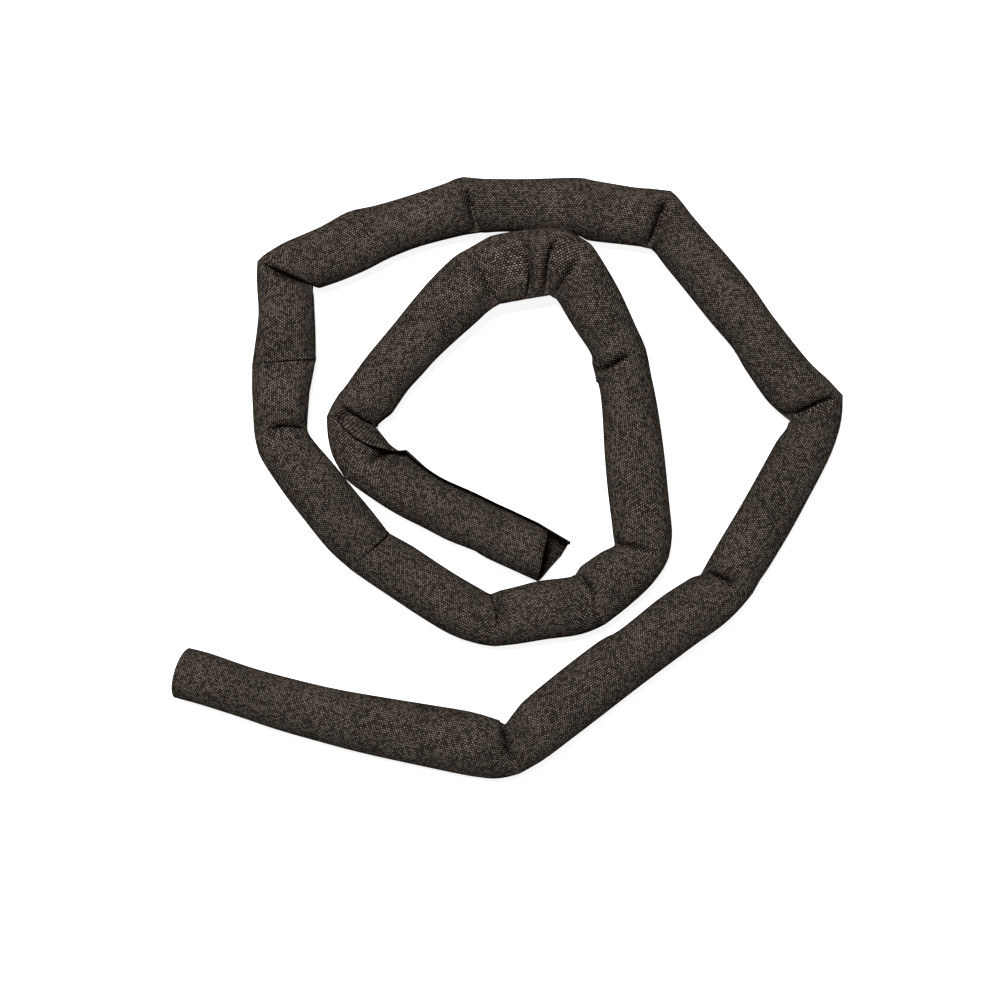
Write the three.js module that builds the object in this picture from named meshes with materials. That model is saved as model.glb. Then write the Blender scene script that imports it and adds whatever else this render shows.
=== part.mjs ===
// A woven self-wrapping cable sleeve, lying where it was put down.
//
// It is one strip of woven cloth, heat-set into a roll so that its two long
// edges overlap. Nothing is in it. It lies in a coil of nearly two turns, and
// where it was folded it keeps sharp kinks, each with a crease that starts at
// the inner side of the bend. Units are millimetres and +Z is up.
//
// The strip is built as ribs: upright sections of the rolled strip, set one
// after another along the sleeve. "Inner" is the side of a bend that faces the
// middle of the coil, and "outer" is the other side.

import * as THREE from "three";

// Sizes of the sleeve itself.
const sleeveDiameter = 20; // across the rolled sleeve, outside
const wall = 0.8; // thickness of the woven strip
const plyGap = 0.6; // air between the overlapping layers
const stripWidth = 80; // the strip from long edge to long edge, unrolled
const turns = stripWidth / (Math.PI * sleeveDiameter);
const layerStep = wall + plyGap;
const restFlat = 0.7; // how far its own weight flattens the underside
const creaseHeight = 2.4; // height that a pinched section keeps, each side of its middle

// The seam is the outer long edge. Its angle goes round the section: 0 is the
// outer side of the coil, 90 the top, 180 the inner side and 270 the underside.
// From the seam the strip goes down the inner side, under, up and over the top.
// Rows are [distance along the sleeve, value].
const seamAngles = [[0, 215], [880, 205], [914, 183], [934, 152], [950, 152], [980, 163], [999, 154]];
// In the last tight bend the seam is drawn over the top by this many degrees.
const seamDrawnOver = [
  [880, 0], [897, 32], [907, 66], [914, 105], [918, 113], [923, 80], [928, 46], [934, 8], [940, 0],
];
// How far the outer edge stands off the layer under it, and over what width.
const seamGape = [[890, 0], [914, 2], [927, 1.6], [937, 2.2], [952, 0.5], [1000, 0.4]];
const gapeWidth = 12;
// How far the sleeve is lifted off the surface: the second turn leans on the first.
const lifts = [[780, 0], [800, 3], [815, 7], [829, 8.6], [842, 8], [855, 4.5], [880, 1], [897, 0], [975, 0], [1000, 1.5]];

// The outer end leans outwards at the top by this many degrees.
const outerEndLean = 12;
// The inner end is cut askew, as [distance across the strip, how far it stands out].
const skewCut = [[0, 9.4], [15, 8.9], [22, 7.2], [33, 5.1], [44, 3.8], [52, 2], [80, -2.2]];
// The outer corner there curls in by this many degrees, over this width.
const cornerCurl = 9;
const curlWidth = 24;

// The middle of the coil's extent; the part is placed with it at the origin.
const coilMiddle = new THREE.Vector2(0.25, -0.22);

// The sleeve's course, seen from above. A run goes from one kink to the next.
// Each rib is [x, y, direction, spread]: the middle of the rib, the direction
// in degrees from its inner to its outer side, counted on from turn to turn,
// and its width as a share of sleeveDiameter.
// crease is [depth, reach] of the fold at the run's last rib: how far it cuts
// down, and how much of the width it crosses from the inner side.
const runs = [
  { // along the front, from the outer end
    ribs: [[-112.9, -67.9, -105, 0.9], [-105.2, -69.9, -105, 0.9], [-91.6, -74.4, -106, 0.88],
      [-77.7, -78.6, -105, 0.92], [-62.6, -82.5, -104, 0.955], [-46.5, -86, -104, 1.02],
      [-29.1, -89.4, -102, 1.07], [-15.1, -92.1, -101, 1.1], [-6.7, -94, -107, 1.05],
      [-2.4, -94.6, -90, 0.97], [1.8, -94.3, -73, 0.89]],
    crease: [5, 0.8],
  },
  { // up the lower right
    ribs: [[6.9, -90.1, -61, 0.97], [12.1, -85.5, -54, 1.03], [24.6, -75.6, -53, 1.06],
      [38.4, -65, -52, 1.05], [45, -60.7, -52, 0.99], [58.6, -50.2, -55, 1.02],
      [67.9, -43.8, -50, 1], [75.9, -37.2, -20, 0.96]],
    crease: [5, 0.75],
  },
  { // up the right side
    ribs: [[78.5, -32.4, -20, 0.96], [82.3, -26.2, -27, 0.97], [89.3, -14.5, -27, 0.97],
      [96.1, -2.2, -28, 0.96], [101.9, 8.6, -22, 0.95], [105.8, 16.4, -3, 0.91],
      [107, 23.8, 27, 1.01]],
    crease: [6, 1],
  },
  { // back along the upper right
    ribs: [[102.2, 28.3, 30, 1.04], [97, 33.4, 37, 0.99], [90, 42.9, 34, 0.94],
      [85, 50.4, 42, 0.89], [77.4, 60.1, 41, 0.95], [69, 70.5, 39, 0.94],
      [62, 78.8, 38, 0.92], [57.1, 84.9, 48, 0.91], [53.3, 89, 72, 1.06]],
    crease: [5, 0.9],
  },
  { // along the top
    ribs: [[47.9, 89.8, 79, 1.02], [41, 90.5, 78, 1.01], [28.4, 92.4, 85, 1.04],
      [23.7, 93.8, 88, 0.98], [7.8, 94.2, 90, 0.91], [-2.9, 94.2, 92, 0.91],
      [-8.1, 94.1, 98, 0.94], [-12.1, 94.3, 109, 1.01]],
    crease: [5, 0.85],
  },
  { // down the upper left
    ribs: [[-14.7, 93.8, 110, 1], [-19.5, 92.5, 108, 0.94], [-33, 88.6, 108, 0.89],
      [-43.8, 84.9, 109, 0.94], [-51.6, 82, 112, 1.05], [-60.2, 77.7, 113, 1],
      [-68.7, 74.4, 117, 0.97], [-73.7, 72.5, 138, 0.99], [-77, 70.6, 157, 1.05]],
    crease: [6, 0.95],
  },
  { // down the left side
    ribs: [[-77.1, 66.6, 167, 1], [-76.6, 59, 183, 0.97], [-76.6, 51.2, 178, 1.01],
      [-77.5, 39.8, 185, 1.11]],
    crease: [1, 1],
  },
  { // further down the left side
    ribs: [[-78.5, 29.8, 178, 1], [-78.7, 18, 180, 0.93], [-78.3, 14.1, 191, 0.92]],
    crease: [4, 0.75],
  },
  { // round the lower left
    ribs: [[-77.3, 11.1, 199, 0.94], [-73.7, 6, 197, 1.01], [-63.3, -7.7, 219, 1],
      [-54.6, -18.3, 220, 1.01], [-47.6, -25.9, 225, 0.92]],
    crease: [1.5, 0.6],
  },
  { // along the middle front
    ribs: [[-37.5, -32.2, 237, 0.95], [-25, -40.5, 238, 0.95], [-15.7, -46, 243, 0.95],
      [-9.4, -48.7, 258, 0.91], [-5.2, -49.7, 275, 0.91]],
    crease: [4, 0.6],
  },
  { // under the tail
    ribs: [[-1.4, -48.8, 277, 0.96], [2.6, -48.1, 280, 0.98], [12.3, -46.1, 276, 1.02],
      [22.8, -44.7, 277, 1.02], [28.5, -42.6, 302, 1]],
    crease: [4, 0.6],
  },
  { // the short stretch that turns up
    ribs: [[31.5, -39.6, 307, 1.06], [34.3, -37.4, 314, 1.06], [39.8, -33, 319, 1.03],
      [44.3, -28.9, 334, 0.98], [46.5, -25.9, 347, 0.96]],
    crease: [2.5, 0.9],
  },
  { // up the inner right
    ribs: [[46.6, -22, 351, 1.02], [46.5, -17, 352, 1.06], [45.4, -7.1, 355, 1.06],
      [43.8, 9.3, 364, 1.03], [42.2, 24.6, 368, 0.96], [40.7, 33.6, 375, 0.93],
      [39.3, 39.1, 391, 1.01]],
    crease: [4, 0.85],
  },
  { // to the inner loop's top
    ribs: [[37.9, 43.4, 387, 0.97], [36.5, 47.7, 389, 0.91], [30.5, 58.1, 395, 1.01],
      [25.4, 66.5, 404, 1.04], [22.7, 70.4, 418, 1.11]],
    crease: [2.5, 0.6],
  },
  { ribs: [[16.9, 73.9, 439, 1.18]], crease: [3.5, 0.75] },
  { ribs: [[10.4, 73.3, 449, 1.18], [4.2, 72.6, 457, 1.19]], crease: [3.5, 0.85] },
  { ribs: [[-2.1, 71.4, 468, 1.19], [-8.1, 68.9, 480, 1.1]], crease: [4, 0.75] },
  { // down the inner left
    ribs: [[-10.7, 67.6, 481, 1.11], [-13.8, 65.3, 483, 1.11], [-20.5, 58.9, 495, 1.07],
      [-31.2, 47.8, 502, 0.96], [-36.7, 41.6, 502, 0.94], [-42.1, 35.4, 503, 0.92],
      [-48, 27.1, 512, 0.93], [-50.7, 24.7, 510, 0.88], [-53, 22.3, 508, 0.82]],
    crease: [5, 0.8],
  },
  { // the last tight turn, where the seam opens
    ribs: [[-54.2, 19, 528, 0.88], [-52.7, 14.2, 540, 0.97], [-50.7, 9.4, 551, 1.02],
      [-47.2, 4.1, 568, 1.02]],
    crease: [3, 0.6],
  },
  { // the tail, out to the open end
    ribs: [[-43.6, 2.6, 578, 1.07], [-37.9, -1.5, 590, 1.01], [-32, -5.5, 605, 0.96],
      [-25.6, -9.1, 605, 0.92], [-16.2, -13.6, 603, 0.95], [-7.3, -17.5, 604, 0.91],
      [-3.3, -19.6, 605, 0.94], [9.9, -25.7, 604, 0.93]],
    crease: [0, 1],
  },
];

// The strip is divided into whole steps of a turn, so that the layers that lie
// on each other have their points in the same directions.
const stepsInTurn = 17;
const stepWidth = (Math.PI * sleeveDiameter) / stepsInTurn;
const stepsAcross = Math.ceil(stripWidth / stepWidth);

const clothColour = 0x3d3732;

// Straight-line reading of a list of [place, value] rows.
function valueAt(rows, place) {
  const next = rows.findIndex((row) => row[0] > place);
  if (next === 0) return rows[0][1];
  if (next < 0) return rows[rows.length - 1][1];
  const [fromPlace, fromValue] = rows[next - 1];
  const [toPlace, toValue] = rows[next];
  return fromValue + ((toValue - fromValue) * (place - fromPlace)) / (toPlace - fromPlace);
}

// The ribs of all runs in order, each with its distance along the sleeve, the
// direction in which the sleeve goes on there, and the crease that it lies in.
function layRibs() {
  const ribs = runs.flatMap((run) => run.ribs.map(([x, y, direction, spread], place) => ({
    middle: new THREE.Vector2(x, y).sub(coilMiddle),
    outward: new THREE.Vector2(1, 0).rotateAround(new THREE.Vector2(), THREE.MathUtils.degToRad(direction)),
    halfWidth: (spread * sleeveDiameter) / 2,
    crease: place === run.ribs.length - 1 ? run.crease : [0, 1],
  })));
  let along = 0;
  ribs.forEach((rib, place) => {
    const before = ribs[Math.max(place - 1, 0)];
    const after = ribs[Math.min(place + 1, ribs.length - 1)];
    along += rib.middle.distanceTo(before.middle);
    rib.along = along;
    rib.heading = after.middle.clone().sub(before.middle).normalize();
  });
  return ribs;
}

// The strip keeps its width, so a section that is pressed wide gets lower.
// A section narrower than the sleeve is wound tighter and stays round.
function halfHeightOf(trueHalfWidth) {
  const radius = sleeveDiameter / 2;
  if (trueHalfWidth < radius) return trueHalfWidth;
  return Math.sqrt(2 * radius ** 2 - trueHalfWidth ** 2);
}

// The oval that the outermost layer follows at a rib.
function ovalOf(rib) {
  const squareness = Math.abs(rib.outward.x * rib.heading.y - rib.outward.y * rib.heading.x);
  return { squareness, halfHeight: halfHeightOf(rib.halfWidth * squareness) };
}

// Where a place across the strip comes to lie round the oval, in degrees.
function angleOf(rib, across) {
  const share = across / stripWidth;
  const drawnOver = valueAt(seamDrawnOver, rib.along) * (1 - share);
  return valueAt(seamAngles, rib.along) - drawnOver + 360 * turns * share;
}

// How far the roll has wound inwards from the seam to an angle.
function woundIn(rib, angle) {
  return (layerStep * (angle - valueAt(seamAngles, rib.along))) / 360;
}

// How far in the outermost layer lies in a direction, if the layers start at an angle.
function rimInset(rib, direction, start) {
  return woundIn(rib, start + THREE.MathUtils.euclideanModulo(direction - start, 360));
}

// A crease draws the top down and the underside up, most at the inner side.
function pinch(rib, oval, outwards, height) {
  const [depth, reach] = rib.crease;
  const share = outwards / rib.halfWidth;
  const ovalHere = oval.halfHeight * Math.sqrt(Math.max(1 - share ** 2, 0));
  const room = Math.max(ovalHere - creaseHeight, 0);
  const fade = THREE.MathUtils.clamp((2 * reach - 1 - share) / reach, 0, 1);
  const drop = Math.min(depth * fade, 0.75 * room);
  const side = height > 0 ? 1 : 0.5;
  const hold = Math.min(Math.abs(height) / Math.max(0.8 * ovalHere, wall), 1);
  return height - Math.sign(height) * drop * side * hold;
}

// A point of the strip: a place across it, and a depth below its outer face.
// The section is grown and shifted so that the wound layers fill the oval.
function stripPoint(rib, across, depth) {
  const oval = ovalOf(rib);
  const seam = valueAt(seamAngles, rib.along);
  const edge = angleOf(rib, 0);
  const [outer, inner] = [0, 180].map((direction) => rimInset(rib, direction, edge));
  const [top, under] = [90, 270].map((direction) => rimInset(rib, direction, seam));

  const angle = angleOf(rib, across);
  const radians = THREE.MathUtils.degToRad(angle);
  const gape = valueAt(seamGape, rib.along) * Math.max(1 - across / gapeWidth, 0) ** 2;
  const inset = woundIn(rib, angle) + depth - gape;
  const halfWidth = rib.halfWidth + (outer + inner - 2 * inset) / (2 * oval.squareness);
  const outwards = halfWidth * Math.cos(radians) + (outer - inner) / 2;
  const heightAt = (insetThere) =>
    (oval.halfHeight + (top + under) / 2 - insetThere) * Math.sin(radians) + (top - under) / 2;

  const middle = oval.halfHeight - restFlat;
  const pressedUp = Math.max(-middle - heightAt(rimInset(rib, angle, seam)), 0);
  return new THREE.Vector3(
    rib.middle.x + rib.outward.x * outwards,
    rib.middle.y + rib.outward.y * outwards,
    middle + valueAt(lifts, rib.along) + pinch(rib, oval, outwards, heightAt(inset)) + pressedUp,
  );
}

// How far the cut end of the strip stands out from its last rib.
function endLead(end, across, point) {
  if (end === "outer") return -Math.tan(THREE.MathUtils.degToRad(outerEndLean)) * (point.z - sleeveDiameter / 2);
  if (end === "inner") return valueAt(skewCut, across);
  return 0;
}

// How far the corner of the inner end has curled in at a place across the strip.
function cornerCurlAt(across, lead) {
  return lead * Math.tan(THREE.MathUtils.degToRad(cornerCurl)) * Math.max(1 - across / curlWidth, 0);
}

// One rib's outline: along the outer face of the strip and back along its inner face.
function ribOutline(rib, end) {
  const places = Array.from({ length: stepsAcross + 1 }, (_, step) => Math.min(stepWidth * step, stripWidth));
  const pointAt = (across, depth) => {
    const point = stripPoint(rib, across, depth);
    const lead = endLead(end, across, point);
    const curl = end === "inner" ? cornerCurlAt(across, lead) : 0;
    const shift = rib.heading.clone().multiplyScalar(lead).addScaledVector(rib.outward, curl);
    return point.add(new THREE.Vector3(shift.x, shift.y, 0));
  };
  const outerFace = places.map((across) => pointAt(across, 0));
  const innerFace = places.map((across) => pointAt(across, wall)).reverse();
  return [...outerFace, ...innerFace];
}

// Two triangles across the corners a, b, c, d, split from a to c or from b to d.
function fillFour(faces, [a, b, c, d], fromFirst) {
  if (fromFirst) faces.push(a, b, c, a, c, d);
  else faces.push(a, b, d, b, c, d);
}

function firstIsShorter(points, [a, b, c, d]) {
  return points[a].distanceTo(points[c]) < points[b].distanceTo(points[d]);
}

// The closed skin over all the rib outlines. Both faces of the strip are split
// alike, so that they never cross, and both ends of the strip are closed.
function strip() {
  const ribs = layRibs();
  const outlines = ribs.map((rib, place) => ribOutline(rib, { 0: "outer", [ribs.length - 1]: "inner" }[place]));
  const points = outlines.flat();
  const size = outlines[0].length;
  const outerCorner = (place, step) => place * size + step;
  const innerCorner = (place, step) => place * size + size - 1 - step;
  const last = outlines.length - 1;
  const faces = [];
  for (let place = 0; place < last; place += 1) {
    for (let step = 0; step < stepsAcross; step += 1) {
      const around = [[place, step], [place + 1, step], [place + 1, step + 1], [place, step + 1]];
      const outside = around.map((corner) => outerCorner(...corner));
      const inside = around.map((corner) => innerCorner(...corner)).reverse();
      const split = firstIsShorter(points, outside);
      fillFour(faces, outside, split);
      fillFour(faces, inside, !split);
    }
    const edges = [
      [innerCorner(place, 0), innerCorner(place + 1, 0), outerCorner(place + 1, 0), outerCorner(place, 0)],
      [stepsAcross, stepsAcross + size, stepsAcross + 1 + size, stepsAcross + 1].map((corner) => corner + place * size),
    ];
    edges.forEach((edge) => fillFour(faces, edge, true));
  }
  for (let step = 0; step < stepsAcross; step += 1) {
    const capAt = (place) => [
      outerCorner(place, step), innerCorner(place, step), innerCorner(place, step + 1), outerCorner(place, step + 1),
    ];
    fillFour(faces, capAt(0).reverse(), true);
    fillFour(faces, capAt(last), true);
  }
  const geometry = new THREE.BufferGeometry().setFromPoints(points);
  geometry.setIndex(faces);
  geometry.computeVertexNormals();
  return geometry;
}

function sleeve() {
  const cloth = new THREE.MeshStandardMaterial({ color: clothColour, roughness: 0.9, metalness: 0 });
  const mesh = new THREE.Mesh(strip(), cloth);
  mesh.name = "sleeve";
  return mesh;
}

const part = new THREE.Group();
part.add(sleeve());

export default part;
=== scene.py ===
"""A woven self-wrapping cable sleeve, lying in a loose, kinked coil, seen from above.

The sleeve is one strip of cloth, rolled so that its two long edges overlap.
A flat grid is cut to the strip's size, then every point of it is rolled and
laid along the same course as the CAD solid, with more detail: the folds at the
kinks, the slack between them and the weave. Sizes here are millimetres of the
real sleeve, and millimetre turns them into metres at the end.
"""

import math

import bmesh
import bpy
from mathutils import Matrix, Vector, noise


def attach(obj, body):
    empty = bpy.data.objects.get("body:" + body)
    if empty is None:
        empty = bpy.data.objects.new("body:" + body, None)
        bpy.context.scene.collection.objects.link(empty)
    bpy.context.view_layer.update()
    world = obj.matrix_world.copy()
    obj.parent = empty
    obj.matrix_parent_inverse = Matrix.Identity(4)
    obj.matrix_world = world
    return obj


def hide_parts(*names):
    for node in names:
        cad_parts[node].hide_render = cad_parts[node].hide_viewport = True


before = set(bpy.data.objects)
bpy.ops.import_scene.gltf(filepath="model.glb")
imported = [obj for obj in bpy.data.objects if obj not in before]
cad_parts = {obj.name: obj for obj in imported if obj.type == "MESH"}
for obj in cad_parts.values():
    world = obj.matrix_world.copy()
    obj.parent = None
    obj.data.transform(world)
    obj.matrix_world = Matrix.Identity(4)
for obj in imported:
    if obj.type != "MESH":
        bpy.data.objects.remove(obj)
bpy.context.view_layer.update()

# A millimetre in metres, and a centimetre in millimetres.
millimetre = 0.001
centimetre = 10

# Sizes of the sleeve itself.
sleeve_diameter = 20
wall = 0.8
ply_gap = 0.25
layer_step = wall + ply_gap
strip_width = 80
turns = strip_width / (math.pi * sleeve_diameter)
# How much the underside is pressed flat where the sleeve rests.
rest_flat = 0.7

# Angles round the section, in degrees.
outer_side = 0
top_side = 90
inner_side = 180
under_side = 270
full_turn = 360

# The seam is the outer long edge, and lies at these angles round the section.
# From the seam the strip goes down the inner side, under, up and over the top.
# Rows are (distance along the sleeve, value).
seam_angles = [
    (0, 215), (905, 208), (914, 200), (934, 156), (943, 158), (955, 167), (985, 171), (999, 165),
]
# In the last tight bend the seam comes out of the fold drawn over the top, by this many degrees.
seam_drawn_over = [(914.4, 0), (918, 126), (923, 90), (928, 52), (934, 8), (940, 0)]
# How far the outer edge stands off the layer under it, and over what width.
seam_gape = [(914.4, 0), (918, 0.4), (927, 0.7), (934, 1.2), (939, 0.6), (946, 0)]
gape_width = 12
# How far the cloth beside that edge is sunk, and over how many degrees it comes up again.
pocket_depths = [(914.4, 0), (918, 0.4), (926, 0.9), (932, 2.2), (937, 1.6), (943, 0.4), (950, 0)]
pocket_spread = 50
# How far the sleeve is lifted off the surface: the second turn leans on the first.
lifts = [
    (780, 0), (800, 3), (815, 7), (829, 8.6), (842, 8), (855, 4.5), (880, 1), (897, 0),
    (975, 0), (1000, 1.5),
]

# The outer end leans outwards at the top by this many degrees.
outer_end_lean = 12
# The inner end is cut askew, as (distance across the strip, how far it stands out).
skew_cut = [(0, 9.4), (15, 8.9), (22, 7.2), (33, 5.1), (44, 3.8), (52, 2), (80, -2.2)]
# The outer corner there curls in by this many degrees, over this width.
corner_curl = 9
curl_width = 24

# The middle of the coil's extent; the part is placed with it at the origin.
coil_middle = Vector((0.25, -0.22))

# The sleeve's course, seen from above. A run goes from one kink to the next.
# Each rib is (x, y, direction, spread): the middle of the rib, the direction
# in degrees from its inner to its outer side, counted on from turn to turn,
# and its width as a share of sleeve_diameter.
# fold is (depth, reach, over, bow) of the kink at the run's last rib: how far the
# covered side goes down, how much of the width the fold crosses from the inner
# side, +1 where this run lies over the next and -1 where it lies under it, and how
# far the fold's line bows, forwards where positive.
runs = [
    {"ribs": [(-112.9, -67.9, -105, 0.9), (-105.2, -69.9, -105, 0.9), (-91.6, -74.4, -106, 0.88),
              (-77.7, -78.6, -105, 0.92), (-62.6, -82.5, -104, 0.955), (-46.5, -86, -104, 1.02),
              (-29.1, -89.4, -102, 1.07), (-15.1, -92.1, -101, 1.1), (-6.7, -94, -107, 1.05),
              (-2.4, -94.6, -90, 0.97), (1.8, -94.3, -73, 0.89)],
     "fold": (5.4, 0.85, -1, 0)},
    {"ribs": [(6.9, -90.1, -61, 0.97), (12.1, -85.5, -54, 1.03), (24.6, -75.6, -53, 1.06),
              (38.4, -65, -52, 1.05), (45, -60.7, -52, 0.99), (58.6, -50.2, -55, 1.02),
              (67.9, -43.8, -50, 1), (75.9, -37.2, -20, 0.96)],
     "fold": (4.8, 0.75, 1, 0)},
    {"ribs": [(78.5, -32.4, -20, 0.96), (82.3, -26.2, -27, 0.97), (89.3, -14.5, -27, 0.97),
              (96.1, -2.2, -28, 0.96), (101.9, 8.6, -22, 0.95), (105.8, 16.4, -3, 0.91),
              (107, 23.8, 27, 1.01)],
     "fold": (7.2, 1, 1, 0)},
    {"ribs": [(102.2, 28.3, 30, 1.04), (97, 33.4, 37, 0.99), (90, 42.9, 34, 0.94),
              (85, 50.4, 42, 0.89), (77.4, 60.1, 41, 0.95), (69, 70.5, 39, 0.94),
              (62, 78.8, 38, 0.92), (57.1, 84.9, 48, 0.91), (53.3, 89, 72, 1.06)],
     "fold": (5.8, 0.95, 1, 0)},
    {"ribs": [(47.9, 89.8, 79, 1.02), (41, 90.5, 78, 1.01), (28.4, 92.4, 85, 1.04),
              (23.7, 93.8, 88, 0.98), (7.8, 94.2, 90, 0.91), (-2.9, 94.2, 92, 0.91),
              (-8.1, 94.1, 98, 0.94), (-12.1, 94.3, 109, 1.01)],
     "fold": (5.8, 0.85, 1, 0)},
    {"ribs": [(-14.7, 93.8, 110, 1), (-19.5, 92.5, 108, 0.94), (-33, 88.6, 108, 0.89),
              (-43.8, 84.9, 109, 0.94), (-51.6, 82, 112, 1.05), (-60.2, 77.7, 113, 1),
              (-68.7, 74.4, 117, 0.97), (-73.7, 72.5, 138, 0.99), (-77, 70.6, 157, 1.05)],
     "fold": (6.4, 0.95, 1, 0)},
    {"ribs": [(-77.1, 66.6, 167, 1), (-76.6, 59, 183, 0.97), (-76.6, 51.2, 178, 1.01),
              (-77.5, 39.8, 185, 1.11)],
     "fold": (1, 1, 1, 0)},
    {"ribs": [(-78.5, 29.8, 178, 1), (-78.7, 18, 180, 0.93), (-78.3, 14.1, 191, 0.92)],
     "fold": (5.4, 0.75, -1, -2.4)},
    {"ribs": [(-77.3, 11.1, 199, 0.94), (-73.7, 6, 197, 1.01), (-63.3, -7.7, 219, 1),
              (-54.6, -18.3, 220, 1.01), (-47.6, -25.9, 225, 0.92)],
     "fold": (1.6, 0.6, 1, 0)},
    {"ribs": [(-37.5, -32.2, 237, 0.95), (-25, -40.5, 238, 0.95), (-15.7, -46, 243, 0.95),
              (-9.4, -48.7, 258, 0.91), (-5.2, -49.7, 275, 0.91)],
     "fold": (4.5, 0.65, 1, 1.2)},
    {"ribs": [(-1.4, -48.8, 277, 0.96), (2.6, -48.1, 280, 0.98), (12.3, -46.1, 276, 1.02),
              (22.8, -44.7, 277, 1.02), (28.5, -42.6, 302, 1)],
     "fold": (4.5, 0.6, 1, 1.2)},
    {"ribs": [(31.5, -39.6, 307, 1.06), (34.3, -37.4, 314, 1.06), (39.8, -33, 319, 1.03),
              (44.3, -28.9, 334, 0.98), (46.5, -25.9, 347, 0.96)],
     "fold": (2.2, 0.9, 1, 0)},
    {"ribs": [(46.6, -22, 351, 1.02), (46.5, -17, 352, 1.06), (45.4, -7.1, 355, 1.06),
              (43.8, 9.3, 364, 1.03), (42.2, 24.6, 368, 0.96), (40.7, 33.6, 375, 0.93),
              (39.3, 39.1, 391, 1.01)],
     "fold": (4.2, 0.85, 1, 0)},
    {"ribs": [(37.9, 43.4, 387, 0.97), (36.5, 47.7, 389, 0.91), (30.5, 58.1, 395, 1.01),
              (25.4, 66.5, 404, 1.04), (22.7, 70.4, 418, 1.11)],
     "fold": (5, 0.75, 1, 0)},
    {"ribs": [(16.9, 73.9, 439, 1.18)], "fold": (6, 0.95, 1, 1.6)},
    {"ribs": [(10.4, 73.3, 449, 1.18), (4.2, 72.6, 457, 1.19)], "fold": (6, 1, -1, -2.4)},
    {"ribs": [(-2.1, 71.4, 468, 1.19), (-8.1, 68.9, 480, 1.1)], "fold": (4.2, 0.75, 1, 0)},
    {"ribs": [(-10.7, 67.6, 481, 1.11), (-13.8, 65.3, 483, 1.11), (-20.5, 58.9, 495, 1.07),
              (-31.2, 47.8, 502, 0.96), (-36.7, 41.6, 502, 0.94), (-42.1, 35.4, 503, 0.92),
              (-48, 27.1, 512, 0.93), (-50.7, 24.7, 510, 0.88), (-53, 22.3, 508, 0.82)],
     "fold": (9, 0.85, 1, 0)},
    {"ribs": [(-54.2, 19, 528, 0.88)], "fold": (9, 0.9, -1, 0)},
    {"ribs": [(-52.7, 14.2, 540, 0.97), (-50.7, 9.4, 551, 1.02), (-47.2, 4.1, 568, 1.02)],
     "fold": (4.8, 0.6, -1, 0)},
    {"ribs": [(-43.6, 2.6, 578, 1.07), (-37.9, -1.5, 590, 1.01), (-32, -5.5, 605, 0.96),
              (-25.6, -9.1, 605, 0.92), (-16.2, -13.6, 603, 0.95), (-7.3, -17.5, 604, 0.91),
              (-3.3, -19.6, 605, 0.94), (9.9, -25.7, 604, 0.93)],
     "fold": None},
]

# Soft wrinkles of the upper cloth: a line from (x, y) to (x, y), how deep it is and how wide.
wrinkles = [
    (25.1, 99.3, 26.8, 90.7, 0.7, 1.5),
    (-50, 86.2, -43.4, 77.9, 0.7, 1.6),
    (-62.8, -75, -61.4, -88, 0.4, 1.6),
    (44.5, -14.2, 50.3, -23.9, 0.8, 1.2),
    (30.3, 34.6, 31.7, 31.5, 1.2, 1.2),
    (-16.4, 75.8, -11.2, 71.6, 0.8, 1.3),
    (-42, 8.2, -31, 4.6, 2.6, 2.4),
]
# Wrinkles stay clear of the outer long edge by this much, and end at this many widths.
edge_band = 20
wrinkle_reach = 3

# Folds, dents and wrinkles belong to the upper cloth: fully so from this share of
# the half height up.
upper_from = 0.5
# The room for them is how far the oval rises over crease_height above its middle.
# The folds with the sunk cloth beside the edge, and the wrinkles, each take at most
# this share of it.
deepest_share = 0.9
crease_height = 1.2

# How finely the cloth is divided: along the sleeve, as (distance from a kink, step),
# and across the strip, as (from, to, steps): finely where it shows.
steps_along = [(0, 0.4), (2.5, 0.4), (4, 1), (8, 1), (12, 2.8)]
strip_steps = [(0, 20, 12), (20, 68, 42), (68, 80, 6)]
# Half the width of the flat grid before it is laid.
half_grid = 0.5
# A fold acts this far to both sides of its kink.
kink_length = 8

# How far a covered side takes to come up again, how far the covering edge stands
# over it, how round that edge is, and how far the covered side goes in under it.
rise_length = 7
lip_overhang = 0.35
lip_length = 1.6
lip_rounding = 0.8
lip_drop = 0.25
tuck = 1.4
tuck_length = 0.8
# Right beside the covering edge the covered side has a groove: its depth is a share of
# the fold's, and this is its width. A fold of less than the full depth is softer.
groove_share = 0.9
groove_width = 1.7
full_depth = 3

# The slack of the cloth between the kinks: how deep and how long its soft dents are.
slack_depth = 0.4
slack_length = 14

# The weave: threads a centimetre, how pointed a thread's top is, and its relief.
threads_across = 14
threads_along = 12
row_offset = 0.5
thread_sharpness = 1.6
relief_strength = 0.7
relief_depth = 0.25

# Colours in the 0 to 255 steps of a picture: the dullest and the brightest thread,
# and the painted shade in the gaps between threads.
dull_thread = (60, 53, 48)
bright_thread = (118, 107, 98)
painted_gap_shade_colour = (5, 4, 3)
# This share of the threads has the dullest colour; the others go on to the brightest.
dullest_share = 0.1
cloth_roughness = 0.6

# Wear multiplies the colour in soft patches: the noise goes from its first value to
# its second while the factor goes from its first to its second.
wear_scale = 60
wear_detail = 3
wear_noise = (0.3, 0.7)
wear_factors = (0.82, 1.18)

# The floor: half its width in metres, its grey, and its glow where it is seen.
floor_size = 3
floor_grey = 0.5
floor_roughness = 0.9
floor_glow = 0.9

# Lamps are (name, place in metres, size in metres, power in watts).
lamps = [("key", (-0.15, 0.32, 1.15), 0.25, 31), ("fill", (0.9, -0.6, 0.8), 0.5, 1)]
# How bright the white world is as a light; as a backdrop it is 1.
ambient = 0.04

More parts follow.
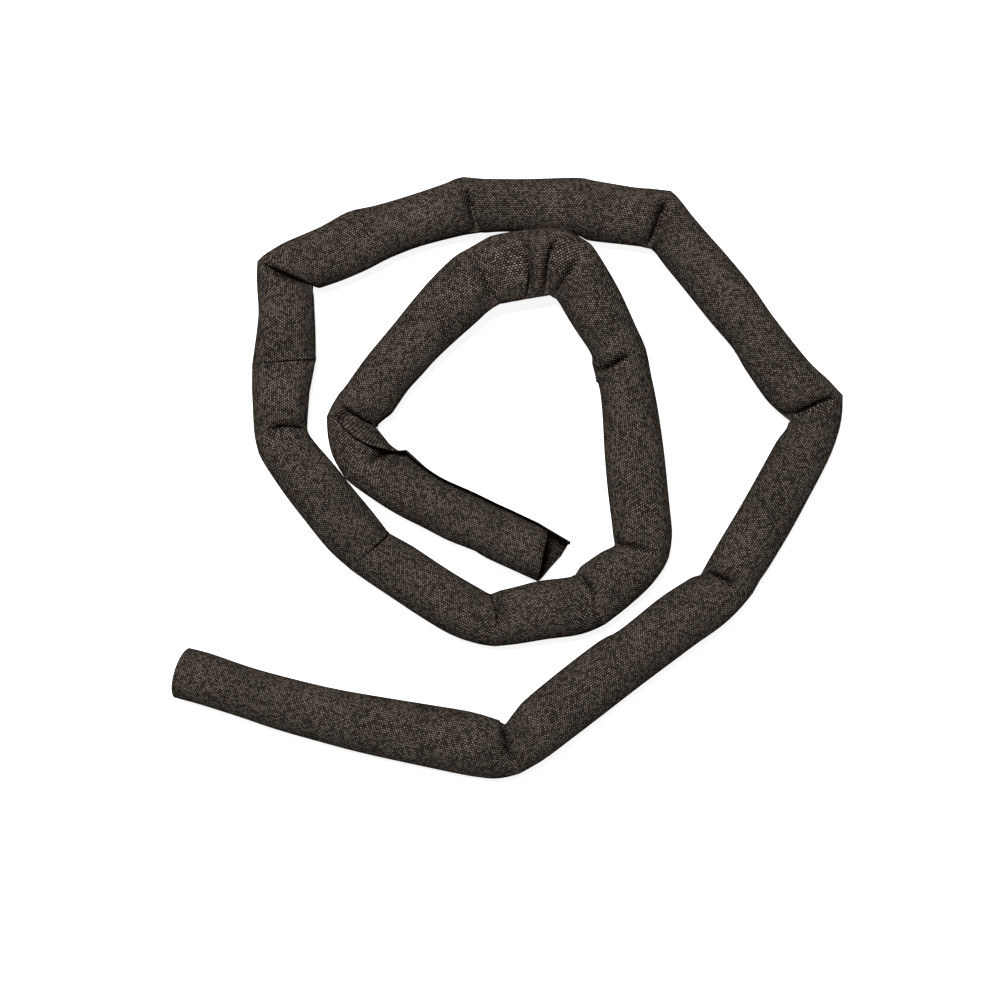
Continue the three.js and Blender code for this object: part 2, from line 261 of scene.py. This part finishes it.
# The camera looks straight down: its height, how wide a part it sees at which level,
# and the place that it looks at.
camera_height = 700
photo_width = 346
view_level = 10
photo_centre = (-2.6, -8.0)
sensor_width = 36


def value_at(rows, place):
    """Straight-line reading of a list of (place, value) rows."""
    if place <= rows[0][0]:
        return rows[0][1]
    for (place_a, value_a), (place_b, value_b) in zip(rows, rows[1:]):
        if place <= place_b:
            return value_a + (value_b - value_a) * (place - place_a) / (place_b - place_a)
    return rows[-1][1]


def clamp(value, low=0.0, high=1.0):
    """The value, kept between two others."""
    return min(max(value, low), high)


def smooth(share):
    """From 0 to 1 with soft ends."""
    share = clamp(share)
    return share * share * (3 - 2 * share)


def lay_ribs():
    """All ribs in order, with the distance along the sleeve and the run of each."""
    ribs = []
    for number, run in enumerate(runs):
        for x, y, direction, spread in run["ribs"]:
            middle = Vector((x, y)) - coil_middle
            along = ribs[-1]["along"] + (middle - ribs[-1]["middle"]).length if ribs else 0
            ribs.append({
                "middle": middle,
                "direction": direction,
                "spread": spread,
                "along": along,
                "run": number,
            })
    return ribs


def lay_folds(ribs):
    """The folds at the kinks, each at the distance of its run's last rib."""
    folds = []
    for rib, following in zip(ribs, ribs[1:]):
        if rib["run"] != following["run"]:
            depth, reach, over, bow = runs[rib["run"]]["fold"]
            folds.append({
                "number": rib["run"],
                "along": rib["along"],
                "depth": depth,
                "reach": reach,
                "over": over,
                "bow": bow,
            })
    return folds


def curve_through(before, start, end, after, share):
    """A smooth curve from start to end that minds the values before and after."""
    slope_start = (end - before) / 2
    slope_end = (after - start) / 2
    squared = share ** 2
    cubed = share ** 3
    return (
        start * (2 * cubed - 3 * squared + 1)
        + slope_start * (cubed - 2 * squared + share)
        + end * (3 * squared - 2 * cubed)
        + slope_end * (cubed - squared)
    )


def section_between(ribs, place, share):
    """The section a share of the way from one rib to the next: smooth inside a run."""
    start, end = ribs[place], ribs[place + 1]
    in_run = start["run"] == end["run"]
    has_before = in_run and place > 0 and ribs[place - 1]["run"] == start["run"]
    has_after = in_run and place + 2 < len(ribs) and ribs[place + 2]["run"] == end["run"]

    def read(value):
        here, there = value(start), value(end)
        before = value(ribs[place - 1]) if has_before else 2 * here - there
        after = value(ribs[place + 2]) if has_after else 2 * there - here
        return curve_through(before, here, there, after, share)

    return {
        "middle": Vector((read(lambda rib: rib["middle"].x), read(lambda rib: rib["middle"].y))),
        "direction": read(lambda rib: rib["direction"]),
        "spread": read(lambda rib: rib["spread"]),
        "along": start["along"] + share * (end["along"] - start["along"]),
        "past": start["run"] + (0 if in_run else 1),
    }


def lay_sections(ribs, folds):
    """Sections close together near the kinks and further apart between them.
    past counts the folds that a section lies beyond; each fold has a section on both sides."""
    sections = []
    for place, (start, end) in enumerate(zip(ribs, ribs[1:])):
        length = end["along"] - start["along"]
        done = 0
        while done < length:
            sections.append(section_between(ribs, place, done / length))
            from_kink = min(abs(start["along"] + done - fold["along"]) for fold in folds)
            step = value_at(steps_along, from_kink)
            done += step
            if length - done < step / 2:
                break
        last_of_run = place + 2 == len(ribs) or ribs[place + 2]["run"] != end["run"]
        if last_of_run:
            sections.append(section_between(ribs, place, 1.0))
    return sections


def set_headings(sections, ribs):
    """The direction in which the sleeve goes on at each section, as the CAD solid has it."""
    headings = []
    for place in range(len(ribs)):
        before = ribs[max(place - 1, 0)]
        after = ribs[min(place + 1, len(ribs) - 1)]
        headings.append((ribs[place]["along"], (after["middle"] - before["middle"]).normalized()))
    for section in sections:
        section["heading"] = value_between(headings, section["along"]).normalized()


def value_between(rows, place):
    """The same reading as value_at, for a list of (place, vector) rows."""
    for (place_a, value_a), (place_b, value_b) in zip(rows, rows[1:]):
        if place <= place_b:
            return value_a.lerp(value_b, clamp((place - place_a) / (place_b - place_a)))
    return rows[-1][1]


def half_height_of(half_width):
    """The strip keeps its width, so a section that is pressed wide gets lower."""
    radius = sleeve_diameter / 2
    if half_width < radius:
        return half_width
    return math.sqrt(2 * radius ** 2 - half_width ** 2)


def finish_section(section):
    """Adds what every point of a section needs: its oval, its seam and its layers."""
    turned = math.radians(section["direction"])
    outward = Vector((math.cos(turned), math.sin(turned)))
    heading = section["heading"]
    squareness = abs(outward.x * heading.y - outward.y * heading.x)
    half_width = section["spread"] * sleeve_diameter / 2
    seam = value_at(seam_angles, section["along"])
    edge = seam - value_at(seam_drawn_over, section["along"])
    section.update(
        outward=outward,
        squareness=squareness,
        half_width=half_width,
        half_height=half_height_of(half_width * squareness),
        seam=seam,
        edge=edge,
        lift=value_at(lifts, section["along"]),
        gape=value_at(seam_gape, section["along"]),
        pocket=value_at(pocket_depths, section["along"]),
        outer=rim_inset(seam, outer_side, edge),
        inner=rim_inset(seam, inner_side, edge),
        top=rim_inset(seam, top_side, seam),
        under=rim_inset(seam, under_side, seam),
    )


def wound_in(seam, angle):
    """How far the roll has wound inwards from the seam to an angle."""
    return layer_step * (angle - seam) / full_turn


def rim_inset(seam, direction, start):
    """How far in the outermost layer lies in a direction, if the layers start at an angle."""
    return wound_in(seam, start + (direction - start) % full_turn)


def fold_at(section, fold, share):
    """How far a fold lets the cloth down at a place across the width, and how far it moves it along.
    share is -1 at the inner side of the bend and 1 at the outer side. The fold crosses
    the width from the inner side as far as its reach, and fades out there."""
    distance = abs(section["along"] - fold["along"])
    covered = (section["past"] > fold["number"]) == (fold["over"] > 0)
    strength = smooth((2 * fold["reach"] - 1 - share) / fold["reach"])
    if covered:
        drop = fold["depth"] * clamp(1 - distance / rise_length) ** 2
        drop += groove_share * fold["depth"] * math.exp(-(distance / groove_width) ** 2)
        slide = -tuck * clamp(1 - distance / tuck_length)
    else:
        drop = lip_drop * fold["depth"] * math.exp(-distance / lip_rounding)
        slide = lip_overhang * clamp(1 - distance / lip_length)
    slide *= clamp(fold["depth"] / full_depth)
    bow = fold["bow"] * (1 - share ** 2) * smooth(1 - distance / rise_length)
    return drop * strength, bow + slide * strength * fold["over"]


def wrinkle_depth(plan):
    """How deep the soft wrinkles are at a place seen from above."""
    depth = 0
    for x_from, y_from, x_to, y_to, deepest, width in wrinkles:
        start = Vector((x_from, y_from)) - coil_middle
        line = Vector((x_to - x_from, y_to - y_from))
        nearest = start + line * clamp((plan - start).dot(line) / line.length_squared)
        distance = (plan - nearest).length
        if distance < wrinkle_reach * width:
            depth += deepest * math.exp(-(distance / width) ** 2)
    return depth


def point_at(section, folds, across):
    """Where a place across the strip comes to lie, in millimetres."""
    share_across = across / strip_width
    drawn_over = (section["seam"] - section["edge"]) * (1 - share_across)
    angle = section["seam"] - drawn_over + full_turn * turns * share_across
    radians = math.radians(angle)
    standing_off = section["gape"] * max(1 - across / gape_width, 0) ** 2
    inset = wound_in(section["seam"], angle) - standing_off

    spread_out = (section["outer"] + section["inner"] - 2 * inset) / (2 * section["squareness"])
    half_width = section["half_width"] + spread_out
    outwards = half_width * math.cos(radians) + (section["outer"] - section["inner"]) / 2
    grown = section["half_height"] + (section["top"] + section["under"]) / 2
    shifted = (section["top"] - section["under"]) / 2
    height = (grown - inset) * math.sin(radians) + shifted

    share = clamp(outwards / section["half_width"], -1, 1)
    room = max(section["half_height"] * math.sqrt(1 - share ** 2) - crease_height, 0)
    upper = smooth(height / (upper_from * section["half_height"]))
    drop, slide = 0, 0
    for fold in folds:
        if abs(section["along"] - fold["along"]) < kink_length:
            fold_drop, fold_slide = fold_at(section, fold, share)
            drop = max(drop, fold_drop)
            slide += fold_slide
    beside_edge = full_turn + section["edge"] - angle
    drop += section["pocket"] * smooth(1 - beside_edge / pocket_spread)
    height -= min(drop, deepest_share * room) * upper

    middle = section["half_height"] - rest_flat
    rim_grown = grown - rim_inset(section["seam"], angle, section["seam"])
    rim_height = rim_grown * math.sin(radians) + shifted
    pressed_up = max(-middle - rim_height, 0)
    level = middle + section["lift"] + height + pressed_up
    plan = section["middle"] + section["outward"] * outwards + section["heading"] * slide * upper
    slack = slack_depth * noise.noise(Vector((plan.x, plan.y, level)) / slack_length)
    wrinkled = wrinkle_depth(plan) if across > edge_band else 0
    level -= (max(slack, 0) + min(wrinkled, deepest_share * room)) * upper
    return Vector((plan.x, plan.y, level))


def end_lead(section, sections, across, level):
    """How far a cut end of the strip stands out from its section."""
    if section is sections[0]:
        return -math.tan(math.radians(outer_end_lean)) * (level - sleeve_diameter / 2)
    if section is sections[-1]:
        return value_at(skew_cut, across)
    return 0


def corner_curled_in(section, sections, across, lead):
    """How far the corner of the inner end has curled in at a place across the strip."""
    if section is not sections[-1]:
        return 0
    return lead * math.tan(math.radians(corner_curl)) * max(1 - across / curl_width, 0)


def places_across():
    """Where the strip is divided across: finely where it shows, coarsely where it is hidden."""
    places = []
    for start, end, steps in strip_steps:
        places += [start + (end - start) * step / steps for step in range(steps)]
    return places + [strip_width]


def make_sleeve():
    """The strip as a grid, rolled and laid, with the wall's thickness and the cloth's own map."""
    ribs = lay_ribs()
    folds = lay_folds(ribs)
    sections = lay_sections(ribs, folds)
    set_headings(sections, ribs)
    for section in sections:
        finish_section(section)
    places = places_across()

    mesh = bmesh.new()
    cloth_map = mesh.loops.layers.uv.new("cloth")
    columns = len(places) - 1
    rows = len(sections) - 1
    bmesh.ops.create_grid(mesh, x_segments=columns, y_segments=rows, size=half_grid)
    cloth_place = {}
    for vertex in mesh.verts:
        column = round((vertex.co.x + half_grid) * columns)
        row = round((vertex.co.y + half_grid) * rows)
        section, across = sections[row], places[column]
        point = point_at(section, folds, across)
        lead = end_lead(section, sections, across, point.z)
        curl = corner_curled_in(section, sections, across, lead)
        plan = Vector((point.x, point.y)) + section["heading"] * lead + section["outward"] * curl
        vertex.co = Vector((plan.x, plan.y, point.z)) * millimetre
        cloth_place[vertex] = (across, section["along"] + lead)
    for face in mesh.faces:
        for loop in face.loops:
            across, along = cloth_place[loop.vert]
            loop[cloth_map].uv = (across / centimetre, along / centimetre)
    # The faces are turned to look outwards, so that the wall grows inwards from them.
    bmesh.ops.reverse_faces(mesh, faces=mesh.faces)
    data = bpy.data.meshes.new("sleeve_cloth")
    mesh.to_mesh(data)
    mesh.free()
    data.polygons.foreach_set("use_smooth", [True] * len(data.polygons))
    sleeve = bpy.data.objects.new("sleeve_cloth", data)
    bpy.context.collection.objects.link(sleeve)

    thickness = sleeve.modifiers.new("wall", "SOLIDIFY")
    thickness.thickness = wall * millimetre
    thickness.offset = -1
    return sleeve


def add_math(nodes, links, operation, first, second=None):
    """A math node whose inputs are sockets or numbers."""
    node = nodes.new("ShaderNodeMath")
    node.operation = operation
    for socket, value in zip(node.inputs, (first, second)):
        if value is None:
            continue
        if isinstance(value, (int, float)):
            socket.default_value = value
        else:
            links.new(value, socket)
    return node.outputs[0]


def make_weave_group():
    """Threads woven in a slanting order, from a place on the cloth in centimetres."""
    group = bpy.data.node_groups.new("weave", "ShaderNodeTree")
    group.interface.new_socket("Place", in_out="INPUT", socket_type="NodeSocketVector")
    group.interface.new_socket("Threads across", in_out="INPUT", socket_type="NodeSocketFloat")
    group.interface.new_socket("Threads along", in_out="INPUT", socket_type="NodeSocketFloat")
    group.interface.new_socket("Height", in_out="OUTPUT", socket_type="NodeSocketFloat")
    group.interface.new_socket("Fleck", in_out="OUTPUT", socket_type="NodeSocketFloat")
    nodes, links = group.nodes, group.links
    inputs = nodes.new("NodeGroupInput")
    outputs = nodes.new("NodeGroupOutput")
    split = nodes.new("ShaderNodeSeparateXYZ")
    links.new(inputs.outputs["Place"], split.inputs[0])

    across = add_math(nodes, links, "MULTIPLY", split.outputs["X"], inputs.outputs["Threads across"])
    along = add_math(nodes, links, "MULTIPLY", split.outputs["Y"], inputs.outputs["Threads along"])
    column = add_math(nodes, links, "FLOOR", across)
    offset = add_math(nodes, links, "MULTIPLY", column, row_offset)
    shifted = add_math(nodes, links, "ADD", along, offset)
    row = add_math(nodes, links, "FLOOR", shifted)

    def hump(value):
        within = add_math(nodes, links, "FRACT", value)
        return add_math(nodes, links, "SINE", add_math(nodes, links, "MULTIPLY", within, math.pi))

    height = add_math(nodes, links, "MULTIPLY", hump(across), hump(shifted))
    height = add_math(nodes, links, "POWER", height, thread_sharpness)
    links.new(height, outputs.inputs["Height"])

    cell = nodes.new("ShaderNodeCombineXYZ")
    links.new(column, cell.inputs["X"])
    links.new(row, cell.inputs["Y"])
    chance = nodes.new("ShaderNodeTexWhiteNoise")
    chance.noise_dimensions = "2D"
    links.new(cell.outputs[0], chance.inputs["Vector"])
    links.new(chance.outputs["Value"], outputs.inputs["Fleck"])
    return group


def linear(channels):
    """A colour in the 0 to 255 steps of a picture, as linear light by the sRGB curve, opaque."""
    def straighten(value):
        value /= 255
        return value / 12.92 if value <= 0.04045 else ((value + 0.055) / 1.055) ** 2.4
    return (*[straighten(channel) for channel in channels], 1)


def make_cloth():
    """Dark warm grey-brown woven cloth, matt, with threads of unlike brightness."""
    material = bpy.data.materials.new("woven_cloth")
    material.use_nodes = True
    nodes, links = material.node_tree.nodes, material.node_tree.links
    surface = nodes["Principled BSDF"]
    surface.inputs["Roughness"].default_value = cloth_roughness
    surface.inputs["Specular IOR Level"].default_value = 0

    place = nodes.new("ShaderNodeUVMap")
    place.uv_map = "cloth"
    weave = nodes.new("ShaderNodeGroup")
    weave.node_tree = make_weave_group()
    weave.inputs["Threads across"].default_value = threads_across
    weave.inputs["Threads along"].default_value = threads_along
    links.new(place.outputs["UV"], weave.inputs["Place"])

    thread = nodes.new("ShaderNodeValToRGB")
    thread.color_ramp.elements[0].position = dullest_share
    thread.color_ramp.elements[0].color = linear(dull_thread)
    thread.color_ramp.elements[1].position = 1
    thread.color_ramp.elements[1].color = linear(bright_thread)
    links.new(weave.outputs["Fleck"], thread.inputs["Fac"])

    # The gaps between the threads are painted near black: painted shade in the weave's hollows,
    # which the relief alone does not cast.
    gap_shade = nodes.new("ShaderNodeMix")
    gap_shade.data_type = "RGBA"
    gap_shade.inputs["A"].default_value = linear(painted_gap_shade_colour)
    links.new(thread.outputs["Color"], gap_shade.inputs["B"])
    links.new(weave.outputs["Height"], gap_shade.inputs["Factor"])

    wear = nodes.new("ShaderNodeTexNoise")
    wear.inputs["Scale"].default_value = wear_scale
    wear.inputs["Detail"].default_value = wear_detail
    coordinates = nodes.new("ShaderNodeTexCoord")
    links.new(coordinates.outputs["Object"], wear.inputs["Vector"])
    wear_range = nodes.new("ShaderNodeMapRange")
    wear_range.inputs["From Min"].default_value = wear_noise[0]
    wear_range.inputs["From Max"].default_value = wear_noise[1]
    wear_range.inputs["To Min"].default_value = wear_factors[0]
    wear_range.inputs["To Max"].default_value = wear_factors[1]
    links.new(wear.outputs["Fac"], wear_range.inputs["Value"])
    worn = nodes.new("ShaderNodeVectorMath")
    worn.operation = "SCALE"
    links.new(gap_shade.outputs["Result"], worn.inputs[0])
    links.new(wear_range.outputs["Result"], worn.inputs["Scale"])
    links.new(worn.outputs[0], surface.inputs["Base Color"])

    relief = nodes.new("ShaderNodeBump")
    relief.inputs["Strength"].default_value = relief_strength
    relief.inputs["Distance"].default_value = relief_depth * millimetre
    links.new(weave.outputs["Height"], relief.inputs["Height"])
    links.new(relief.outputs["Normal"], surface.inputs["Normal"])
    return material


def seen_directly(nodes, links):
    """A mask of 1 for what the camera sees by itself, mirrored or through glass."""
    path = nodes.new("ShaderNodeLightPath")
    seen = add_math(
        nodes, links, "MAXIMUM", path.outputs["Is Camera Ray"], path.outputs["Is Glossy Ray"]
    )
    return add_math(nodes, links, "MAXIMUM", seen, path.outputs["Is Transmission Ray"])


def make_floor():
    """A white floor: it keeps the shadow, and shows white to the camera."""
    mesh = bmesh.new()
    bmesh.ops.create_grid(mesh, x_segments=1, y_segments=1, size=floor_size)
    data = bpy.data.meshes.new("floor")
    mesh.to_mesh(data)
    mesh.free()
    floor = bpy.data.objects.new("floor", data)
    bpy.context.collection.objects.link(floor)

    material = bpy.data.materials.new("white_floor")
    material.use_nodes = True
    nodes, links = material.node_tree.nodes, material.node_tree.links
    surface = nodes["Principled BSDF"]
    surface.inputs["Base Color"].default_value = (floor_grey, floor_grey, floor_grey, 1)
    surface.inputs["Roughness"].default_value = floor_roughness
    surface.inputs["Specular IOR Level"].default_value = 0
    surface.inputs["Emission Color"].default_value = (1, 1, 1, 1)
    strength = add_math(nodes, links, "MULTIPLY", seen_directly(nodes, links), floor_glow)
    links.new(strength, surface.inputs["Emission Strength"])
    data.materials.append(material)


def add_lamp(name, place, size, power):
    """A soft square lamp, aimed at the origin."""
    lamp = bpy.data.lights.new(name, "AREA")
    lamp.size = size
    lamp.energy = power
    stand = bpy.data.objects.new(name, lamp)
    stand.location = place
    stand.rotation_euler = (-Vector(place)).to_track_quat("-Z", "Y").to_euler()
    bpy.context.collection.objects.link(stand)


def light_scene():
    """The lamps, and a world that is white where it is seen and dim as a light."""
    for name, place, size, power in lamps:
        add_lamp(name, place, size, power)
    world = bpy.data.worlds.new("studio")
    world.use_nodes = True
    nodes, links = world.node_tree.nodes, world.node_tree.links
    background = nodes["Background"]
    background.inputs["Color"].default_value = (1, 1, 1, 1)
    strength = add_math(nodes, links, "MULTIPLY", seen_directly(nodes, links), 1 - ambient)
    strength = add_math(nodes, links, "ADD", strength, ambient)
    links.new(strength, background.inputs["Strength"])
    bpy.context.scene.world = world


def set_camera():
    """Straight above the photograph's centre."""
    lens = bpy.data.cameras.new("camera")
    lens.sensor_width = sensor_width
    lens.lens = sensor_width * (camera_height - view_level) / photo_width
    camera = bpy.data.objects.new("camera", lens)
    x, y = Vector(photo_centre) - coil_middle
    camera.location = Vector((x, y, camera_height)) * millimetre
    bpy.context.collection.objects.link(camera)
    bpy.context.scene.camera = camera


sleeve = make_sleeve()
sleeve.data.materials.append(make_cloth())
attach(sleeve, "root")
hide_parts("sleeve")

make_floor()
light_scene()
set_camera()
bpy.context.scene.view_settings.view_transform = "Standard"
